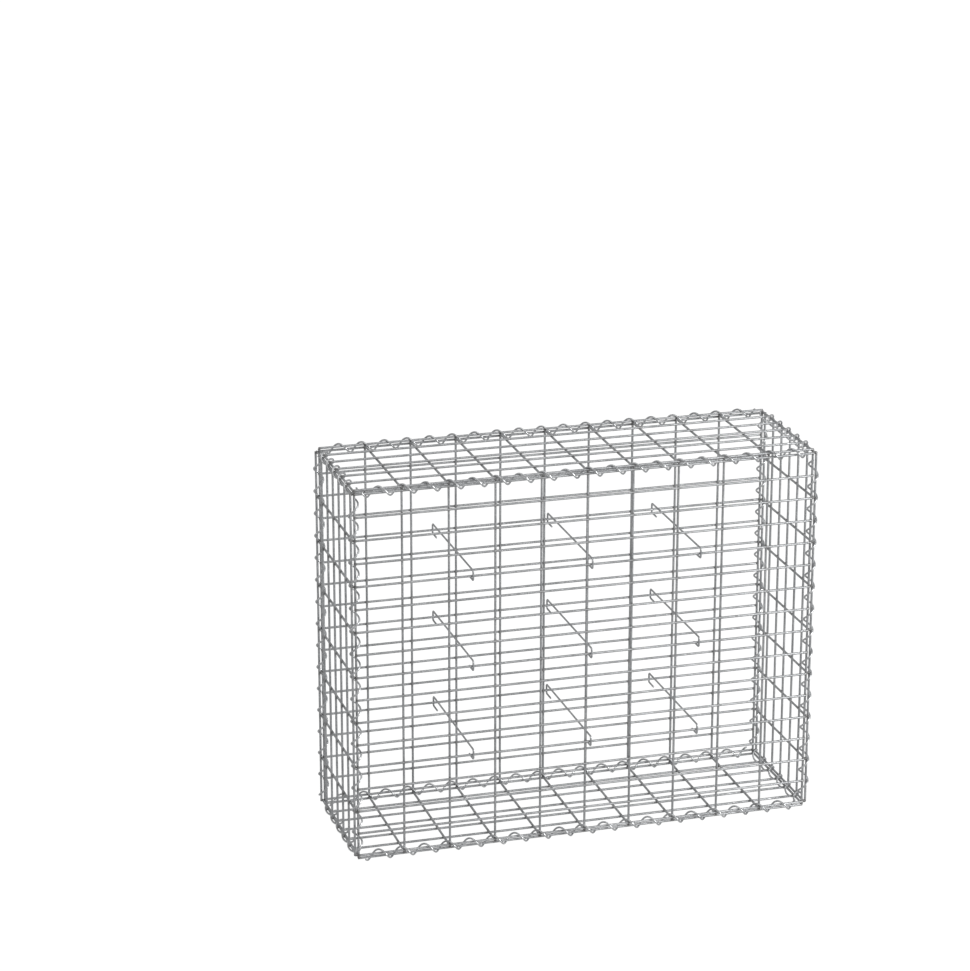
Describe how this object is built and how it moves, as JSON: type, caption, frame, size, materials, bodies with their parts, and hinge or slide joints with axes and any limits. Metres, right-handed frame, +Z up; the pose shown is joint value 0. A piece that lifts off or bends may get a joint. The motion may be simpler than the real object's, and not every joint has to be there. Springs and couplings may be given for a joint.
{
  "type": "gabion basket",
  "caption": "Empty welded-mesh gabion basket: box of six wire mesh panels laced at every edge with spiral binders and braced front to back by hooked wire ties, filled with stone to build walls.",
  "frame": {"origin": "on the floor under the middle of the basket", "axes": "+X along the front to the right, +Y from front to back, +Z up"},
  "size_m": [1.0284, 0.3286, 0.8294],
  "materials": {
    "mesh_wire": "galvanised drawn wire, satin grey",
    "spiral_wire": "galvanised spring wire, brighter than the mesh",
    "tie_wire": "galvanised soft wire, satin grey"
  },
  "bodies": {
    "root": {"front_panel": "mesh_wire", "back_panel": "mesh_wire", "left_panel": "mesh_wire", "right_panel": "mesh_wire", "top_panel": "mesh_wire", "bottom_panel": "mesh_wire", "spiral_top_front": "spiral_wire", "spiral_top_back": "spiral_wire", "spiral_bottom_front": "spiral_wire", "spiral_bottom_back": "spiral_wire", "spiral_front_left": "spiral_wire", "spiral_front_right": "spiral_wire", "spiral_back_left": "spiral_wire", "spiral_back_right": "spiral_wire", "spiral_top_left": "spiral_wire", "spiral_top_right": "spiral_wire", "spiral_bottom_left": "spiral_wire", "spiral_bottom_right": "spiral_wire", "tie_low_left": "tie_wire", "tie_low_middle": "tie_wire", "tie_low_right": "tie_wire", "tie_mid_left": "tie_wire", "tie_mid_middle": "tie_wire", "tie_mid_right": "tie_wire", "tie_high_left": "tie_wire", "tie_high_middle": "tie_wire", "tie_high_right": "tie_wire"}
  },
  "joints": []
}
